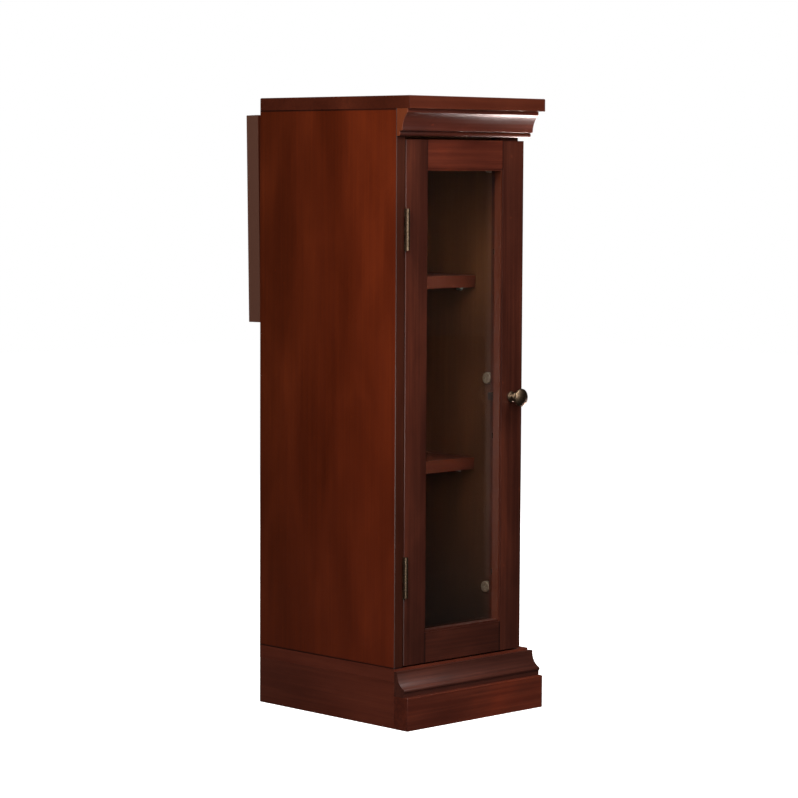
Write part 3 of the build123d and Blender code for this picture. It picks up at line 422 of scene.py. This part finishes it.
def pale_floor(name):
    """Pale studio paper, overexposed where the camera sees it, and dim in the object's gloss."""
    material, tree, shader = new_material(name)
    stops = ((0.3, (0.80, 0.80, 0.80)), (0.7, (0.84, 0.84, 0.84)))
    tree.links.new(ramp(tree, even_noise(tree, 900), stops), shader.inputs["Base Color"])
    shader.inputs["Roughness"].default_value = 0.9
    shader.inputs["Specular IOR Level"].default_value = 0.1
    glow = tree.nodes.new("ShaderNodeEmission")
    glow.inputs["Strength"].default_value = FLOOR_GLOW
    lit = tree.nodes.new("ShaderNodeAddShader")
    tree.links.new(shader.outputs["BSDF"], lit.inputs[0])
    tree.links.new(glow.outputs["Emission"], lit.inputs[1])
    bounce = grey_diffuse(tree, FLOOR_BOUNCE)
    in_gloss = grey_diffuse(tree, FLOOR_IN_GLOSS)
    ray_mix(tree, surface_input(tree), bounce, in_gloss, lit.outputs["Shader"])
    return material


def add_floor():
    """A level square of paper under the object, which isn't part of it."""
    half = FLOOR_SIZE / 2
    mesh = bpy.data.meshes.new("floor")
    corners = [(-half, -half, 0), (half, -half, 0), (half, half, 0), (-half, half, 0)]
    mesh.from_pydata(corners, [], [(0, 1, 2, 3)])
    mesh.materials.append(pale_floor("floor_paper"))
    floor = bpy.data.objects.new("floor", mesh)
    bpy.context.scene.collection.objects.link(floor)


def studio_world():
    """A white backdrop for the camera, and a dim even light on the object."""
    world = bpy.data.worlds.new("studio")
    world.use_nodes = True
    tree = world.node_tree
    tree.nodes.clear()
    output = tree.nodes.new("ShaderNodeOutputWorld")
    backgrounds = []
    for strength in (AMBIENT, AMBIENT_IN_GLOSS, BACKDROP):
        background = tree.nodes.new("ShaderNodeBackground")
        background.inputs["Strength"].default_value = strength
        background.inputs["Color"].default_value = (*WHITE, 1.0)
        backgrounds.append(background.outputs["Background"])
    ray_mix(tree, output.inputs["Surface"], *backgrounds)
    bpy.context.scene.world = world


def area_light(name, location, target, size, power, colour=WHITE, diffuse=True, glossy=True, spread=180):
    """A soft rectangular light that faces a point, and stays out of the picture itself."""
    data = bpy.data.lights.new(name, "AREA")
    data.shape = "RECTANGLE"
    data.size, data.size_y = size
    data.energy = power
    data.color = colour
    data.spread = math.radians(spread)
    light = bpy.data.objects.new(name, data)
    light.location = location
    light.rotation_mode = "QUATERNION"
    light.rotation_quaternion = (Vector(target) - Vector(location)).to_track_quat("-Z", "Y")
    light.visible_camera = False
    light.visible_diffuse = diffuse
    light.visible_glossy = glossy
    bpy.context.scene.collection.objects.link(light)


def photo_camera():
    """The camera at the photograph's viewing angle."""
    data = bpy.data.cameras.new("camera")
    data.lens = LENS_MM
    data.sensor_width = SENSOR_MM
    camera = bpy.data.objects.new("camera", data)
    ahead = Vector((math.sin(CAMERA_HEADING) * math.cos(CAMERA_DOWN),
                    math.cos(CAMERA_HEADING) * math.cos(CAMERA_DOWN),
                    -math.sin(CAMERA_DOWN)))
    level = Vector((math.cos(CAMERA_HEADING), -math.sin(CAMERA_HEADING), 0.0))
    right = math.cos(CAMERA_ROLL) * level + math.sin(CAMERA_ROLL) * level.cross(ahead)
    turn = Matrix((right, right.cross(ahead), -ahead)).transposed()
    camera.matrix_world = Matrix.Translation(BACK_LEFT + CAMERA_FROM_BACK_LEFT) @ turn.to_4x4()
    bpy.context.scene.collection.objects.link(camera)
    bpy.context.scene.camera = camera


add_floor()
studio_world()
photo_camera()
area_light("key_left", (-1.7, -0.9, 2.0), (0, 0, 0.7), (1.0, 1.2), 52, WARM_WHITE)
area_light("front_soft", (-0.6, -1.9, 1.1), BODY_CENTRE, (1.1, 1.1), 20)
area_light("front_top", (0.1, -1.2, 1.9), (0, -0.15, 0.85), (0.6, 0.6), 17)
area_light("top_right", (1.7, -0.5, 2.2), (0, -0.1, 0.4), (1.2, 1.2), 15, glossy=False)
area_light("rear_right", (1.6, 1.8, 1.6), BODY_CENTRE, (1.4, 1.4), 20, glossy=False)
area_light("crown_sheen", (0.90, 0.0, 0.03), CROWN_CENTRE, (0.26, 0.9), 9, ROSE, diffuse=False, spread=50)
area_light("hinge_glint", (-1.3, -1.4, 0.2), LOWER_HINGE, (0.5, 0.5), 5, diffuse=False)
area_light("rear_fill", (0.5, 2.6, 1.2), BODY_CENTRE, (1.2, 1.2), 26, glossy=False)
bpy.context.scene.view_settings.view_transform = "Standard"
